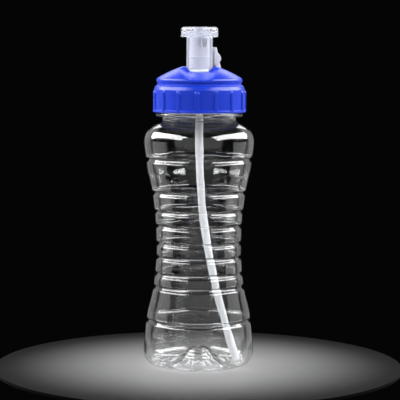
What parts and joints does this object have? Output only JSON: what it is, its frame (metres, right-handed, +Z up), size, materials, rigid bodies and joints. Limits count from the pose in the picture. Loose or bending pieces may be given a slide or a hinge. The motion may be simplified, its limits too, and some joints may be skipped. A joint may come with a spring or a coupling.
{
  "type": "sports squeeze bottle",
  "caption": "Waisted clear squeeze bottle with a ribbed blue screw cap, a clear pull-up drinking nozzle over a milky post, a side vent lever and a bent straw.",
  "frame": {"origin": "centre of the flat ring that the bottle stands on", "axes": "+Z up along the bottle, -Y towards the front, where the cap's finger scoop is"},
  "size_m": [0.0756, 0.0756, 0.2321],
  "materials": {
    "clear_pet": "clear, glossy blow-moulded PET",
    "blue_polypropylene": "glossy moulded blue polypropylene",
    "clear_polypropylene": "clear, slightly cloudy moulded polypropylene",
    "milky_polyethylene": "translucent milky low-density polyethylene",
    "soft_silicone": "translucent matt silicone",
    "pin_nylon": "natural nylon",
    "straw_polyethylene": "translucent natural polyethylene"
  },
  "bodies": {
    "bottle": {"bottle_body": "clear_pet"},
    "seal_ring": {"cap_seal": "soft_silicone"},
    "cap": {"screw_cap": "blue_polypropylene", "spout_post": "milky_polyethylene", "post_gasket": "soft_silicone", "post_retainer": "milky_polyethylene", "straw": "straw_polyethylene", "straw_sleeve": "soft_silicone", "lever_pin": "pin_nylon", "vent_valve": "soft_silicone"},
    "nozzle": {"pull_nozzle": "clear_polypropylene", "nozzle_ring": "soft_silicone"},
    "lever": {"vent_lever": "milky_polyethylene"}
  },
  "joints": [
    {"name": "cap_lift", "type": "slide", "parent": "bottle", "child": "seal_ring", "axis": [0, 0, 1], "range_m": [0, 0.00501]},
    {"name": "cap_turn", "type": "hinge", "parent": "seal_ring", "child": "cap", "pos_m": [0, 0, 0.1746], "axis": [0, 0, 1], "range_deg": [0, 450]},
    {"name": "nozzle_slide", "type": "slide", "parent": "cap", "child": "nozzle", "axis": [0, 0, 1], "range_m": [0, 0.006]},
    {"name": "lever_tilt", "type": "hinge", "parent": "cap", "child": "lever", "pos_m": [0.01253, 0.00878, 0.2022], "axis": [-0.5736, 0.8192, 0], "range_deg": [0, 25]}
  ],
  "couplings": [
    {"joint": "cap_lift", "follows": "cap_turn", "m_per_rad": 0.00063662}
  ]
}
